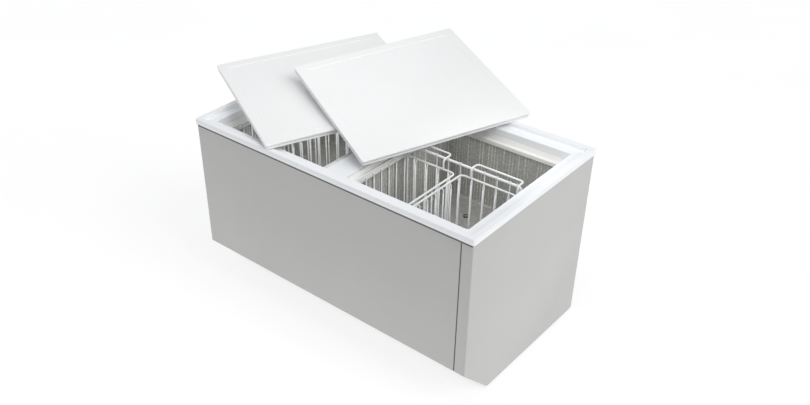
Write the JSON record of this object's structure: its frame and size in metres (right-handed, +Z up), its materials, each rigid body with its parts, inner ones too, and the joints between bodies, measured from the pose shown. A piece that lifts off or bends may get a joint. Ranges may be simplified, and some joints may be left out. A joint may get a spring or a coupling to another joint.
{
  "type": "ice cream dipping cabinet",
  "caption": "Long chest freezer for ice cream: white rim, central bridge, deep tanks with lift-out wire baskets and dividers, and loose lift-off lids left askew on top.",
  "frame": {"origin": "on the floor under the middle of the cabinet", "axes": "+X along the cabinet's length, to the right seen from the front; +Y to the back; +Z up; the front faces -Y"},
  "size_m": [1.3436, 0.9639, 0.8319],
  "materials": {
    "painted_steel": "satin",
    "rim_plastic": "satin",
    "collar_plastic": "satin",
    "liner_metal": "satin",
    "lid_plastic": "satin",
    "lid_core_grey": "matte",
    "coated_wire": "gloss",
    "foam": "matte",
    "galvanised": "satin",
    "copper_tube": "satin",
    "black_enamel": "gloss",
    "fin_aluminium": "satin",
    "black_plastic": "satin",
    "drain_grey": "satin"
  },
  "bodies": {
    "cabinet": {"back_panel": "painted_steel", "base_pan": "black_enamel", "basket_left_a": "coated_wire", "basket_left_a_handle": "coated_wire", "basket_left_b": "coated_wire", "basket_left_b_handle": "coated_wire", "basket_right_a": "coated_wire", "basket_right_a_handle": "coated_wire", "bridge_cap": "rim_plastic", "collar_left": "collar_plastic", "collar_right": "collar_plastic", "compressor": "black_enamel", "compressor_grommet_1": "black_plastic", "compressor_grommet_2": "black_plastic", "compressor_grommet_3": "black_plastic", "compressor_grommet_4": "black_plastic", "condenser_coil": "fin_aluminium", "control_plate": "black_plastic", "divider_left": "coated_wire", "divider_right": "coated_wire", "drain_fitting_left": "drain_grey", "drain_fitting_right": "drain_grey", "drain_tube_left": "drain_grey", "drain_tube_right": "drain_grey", "evaporator_coil_left": "copper_tube", "evaporator_coil_right": "copper_tube", "fan_motor": "black_enamel", "fan_shroud": "galvanised", "foam_insulation": "foam", "front_panel": "painted_steel", "left_side_panel": "painted_steel", "power_inlet": "black_plastic", "right_side_panel": "painted_steel", "rim_back": "rim_plastic", "rim_front": "rim_plastic", "rim_left": "rim_plastic", "rim_right": "rim_plastic", "support_shelf": "galvanised", "tank_liner_left": "liner_metal", "tank_liner_right": "liner_metal", "undercut_panel": "painted_steel"},
    "lid_left": {"lid_left_frame": "lid_plastic", "lid_left_panel": "lid_plastic", "lid_left_base": "lid_plastic", "lid_left_core": "lid_core_grey"},
    "lid_right": {"lid_right_frame": "lid_plastic", "lid_right_panel": "lid_plastic", "lid_right_base": "lid_plastic", "lid_right_core": "lid_core_grey"},
    "basket_right_b": {"basket_right_b": "coated_wire", "basket_right_b_handle": "coated_wire"},
    "condenser_fan": {"condenser_fan": "black_plastic"},
    "thermostat_knob": {"thermostat_knob": "black_plastic"}
  },
  "joints": [
    {"name": "lid_left_lift", "type": "slide", "parent": "cabinet", "child": "lid_left", "axis": [0, 0, 1], "range_m": [0, 0.35]},
    {"name": "lid_right_lift", "type": "slide", "parent": "lid_left", "child": "lid_right", "axis": [0, 0, 1], "range_m": [0, 0.35]},
    {"name": "basket_right_b_lift", "type": "slide", "parent": "cabinet", "child": "basket_right_b", "axis": [0, 0, 1], "range_m": [0, 0.4]},
    {"name": "condenser_fan_spin", "type": "hinge", "parent": "cabinet", "child": "condenser_fan", "pos_m": [0.42, 0.258, 0.13], "axis": [0, 1, 0], "continuous": true},
    {"name": "thermostat_turn", "type": "hinge", "parent": "cabinet", "child": "thermostat_knob", "pos_m": [-0.13, 0.3493, 0.13], "axis": [0, 1, 0], "range_deg": [0, 270]}
  ]
}
